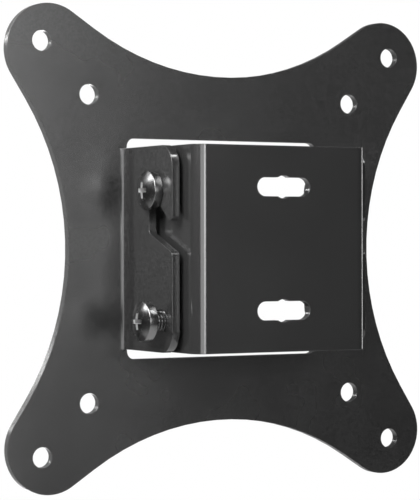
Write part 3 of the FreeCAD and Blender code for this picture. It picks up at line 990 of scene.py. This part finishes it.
def coat(name, dark, light, roughness, grain, grain_depth, matt=0.0, matt_from=None):
    """Black powder coat: fine grain, a slow orange peel and uneven gloss, duller where matt_from says."""
    material, nodes, links, shader = new_material(name)
    fine = noise(nodes, links, grain, detail=3.0, roughness=0.6)
    peel = noise(nodes, links, PEEL_SCALE, detail=1.0)
    cloud = noise(nodes, links, CLOUD_SCALE)
    specks = mapped(nodes, links, fine, NOISE_LOW, NOISE_HIGH)
    links.new(mixed_colour(nodes, links, specks, dark, light), shader.inputs["Base Color"])
    gloss = uneven(nodes, links, cloud, roughness, COAT_UNEVEN)
    if matt_from is not None:
        share = depth_share(nodes, links, "Object", matt_from - MATT_RUN, matt_from)
        gloss = reckoned(nodes, links, "MULTIPLY_ADD", share, matt, gloss)
    links.new(gloss, shader.inputs["Roughness"])
    slow = bump(nodes, links, peel, PEEL_DEPTH, PEEL_STRENGTH)
    links.new(bump(nodes, links, fine, grain_depth, GRAIN_STRENGTH, slow), shader.inputs["Normal"])
    shader.inputs["Specular IOR Level"].default_value = COAT_GLOSS
    return material


def plating(name, dark, light, roughness, inner=None):
    """Plated steel: bright metal with turning marks and faint blotches, with a paler grey painted inside a
    recess as a painted highlight and a duller gloss there.
    """
    material, nodes, links, shader = new_material(name)
    blotch = noise(nodes, links, BLOTCH_SCALE, detail=4.0)
    marks = noise(nodes, links, MARK_SCALE)
    surface = mixed_colour(nodes, links, blotch, dark, light)
    gloss = uneven(nodes, links, blotch, roughness, PLATING_UNEVEN)
    if inner is not None:
        # Painted highlight: the inner grey, paler than the plating, is painted inside the recess, which is
        # also made duller.
        share = add_node(nodes, "ShaderNodeAttribute", attribute_name=RECESS_NAME).outputs["Fac"]
        surface = mixed_colour(nodes, links, share, surface, inner)
        gloss = reckoned(nodes, links, "MULTIPLY_ADD", share, RECESS_DULLING, gloss)
    links.new(surface, shader.inputs["Base Color"])
    links.new(gloss, shader.inputs["Roughness"])
    links.new(bump(nodes, links, marks, MARK_DEPTH, MARK_STRENGTH), shader.inputs["Normal"])
    shader.inputs["Metallic"].default_value = 1.0
    return material


def camera():
    data = bpy.data.cameras.new("photo_camera")
    data.sensor_width = SENSOR
    data.lens = FOCAL_PIXELS * SENSOR / IMAGE_HEIGHT
    data.clip_start = CLIP_START
    data.clip_end = CLIP_END
    right = Vector((math.cos(CAMERA_YAW), math.sin(CAMERA_YAW), 0))
    back = Vector((
        math.sin(CAMERA_YAW) * math.cos(CAMERA_PITCH),
        -math.cos(CAMERA_YAW) * math.cos(CAMERA_PITCH),
        math.sin(CAMERA_PITCH),
    ))
    up = back.cross(right)
    tilted_right = right * math.cos(CAMERA_ROLL) + up * math.sin(CAMERA_ROLL)
    tilted_up = up * math.cos(CAMERA_ROLL) - right * math.sin(CAMERA_ROLL)
    obj = add_object("photo_camera", data)
    obj.matrix_world = Matrix((
        (tilted_right.x, tilted_up.x, back.x, CAMERA_PLACE[0]),
        (tilted_right.y, tilted_up.y, back.y, CAMERA_PLACE[1]),
        (tilted_right.z, tilted_up.z, back.z, CAMERA_PLACE[2]),
        (0, 0, 0, 1),
    ))
    bpy.context.scene.camera = obj


def lamp(name, azimuth, elevation, distance, width, height, power):
    """Softbox aimed at the mount; azimuth is measured from the wall side towards the right."""
    data = bpy.data.lights.new(name, "AREA")
    data.shape = "RECTANGLE"
    data.size = width
    data.size_y = height
    data.energy = power
    turn = math.radians(azimuth)
    rise = math.radians(elevation)
    away = Vector((math.sin(turn) * math.cos(rise), -math.cos(turn) * math.cos(rise), math.sin(rise)))
    obj = add_object(name, data)
    obj.location = away * distance
    obj.rotation_euler = away.to_track_quat("Z", "Y").to_euler()
    obj.visible_camera = False


def lights():
    for entry in LAMPS:
        lamp(*entry)


def world():
    """White behind the mount for the viewer, for mirrors and for clear bodies; a dim studio around it."""
    scene = bpy.context.scene
    scene.world = bpy.data.worlds.new("studio")
    scene.world.use_nodes = True
    nodes = scene.world.node_tree.nodes
    links = scene.world.node_tree.links
    path = add_node(nodes, "ShaderNodeLightPath")
    behind = depth_share(nodes, links, "Generated", BACKDROP_START, BACKDROP_END)
    mirrored = reckoned(nodes, links, "MULTIPLY", path.outputs["Is Glossy Ray"], behind)
    seen = reckoned(
        nodes, links, "MAXIMUM", path.outputs["Is Camera Ray"], path.outputs["Is Transmission Ray"]
    )
    white = reckoned(nodes, links, "MAXIMUM", seen, mirrored)
    background = nodes["Background"]
    colour = mixed_colour(nodes, links, white, grey(STUDIO_GREY), grey(1.0))
    links.new(colour, background.inputs["Color"])
    background.inputs["Strength"].default_value = 1.0


def floor():
    """Pale round floor below the mount, fading out into the white around it."""
    bm = bmesh.new()
    bmesh.ops.create_circle(bm, cap_ends=True, segments=96, radius=FLOOR_RADIUS)
    obj = add_object("floor", mesh_from("floor", bm))
    obj.location = (0, 0, FLOOR_HEIGHT)
    material, nodes, links, shader = new_material("floor_pale")
    shader.inputs["Base Color"].default_value = grey(FLOOR_GREY)
    shader.inputs["Roughness"].default_value = FLOOR_ROUGHNESS
    place = add_node(nodes, "ShaderNodeTexCoord")
    reach = add_node(nodes, "ShaderNodeVectorMath", operation="LENGTH")
    links.new(place.outputs["Object"], reach.inputs[0])
    fade = mapped(
        nodes, links, reach.outputs["Value"], FLOOR_FADE, FLOOR_RADIUS, low=1.0, high=0.0, curve="SMOOTHSTEP"
    )
    links.new(fade, shader.inputs["Alpha"])
    path = add_node(nodes, "ShaderNodeLightPath")
    glow = reckoned(nodes, links, "MULTIPLY", path.outputs["Is Camera Ray"], FLOOR_GLOW)
    shader.inputs["Emission Color"].default_value = grey(1.0)
    links.new(glow, shader.inputs["Emission Strength"])
    obj.data.materials.append(material)


def view_settings():
    bpy.context.scene.view_settings.view_transform = "Standard"


camera()
plate_coat = coat(
    "plate_coat", dark=grey(0.008), light=grey(0.026), roughness=0.17,
    grain=1900.0, grain_depth=0.012 * MM, matt=0.095, matt_from=29.1 * MM,
)
bracket_coat = coat(
    "bracket_coat", dark=grey(0.014), light=grey(0.020), roughness=0.19,
    grain=7000.0, grain_depth=0.004 * MM,
)
# The inner grey is a painted highlight inside the cross recess, not a colour of the plating.
screw_finish = plating(
    "screw_black", dark=grey(0.17), light=grey(0.20), roughness=0.25, inner=grey(0.45),
)
nut_finish = plating(
    "nut_black", dark=(0.09, 0.09, 0.092, 1.0), light=(0.13, 0.13, 0.132, 1.0), roughness=0.34,
)
coated_sheet("screen_plate", screen_plate_mesh(), plate_coat)
coated_sheet("wall_bracket", wall_bracket_mesh(), bracket_coat)
fasteners(screw_finish, nut_finish)
lights()
world()
floor()
view_settings()
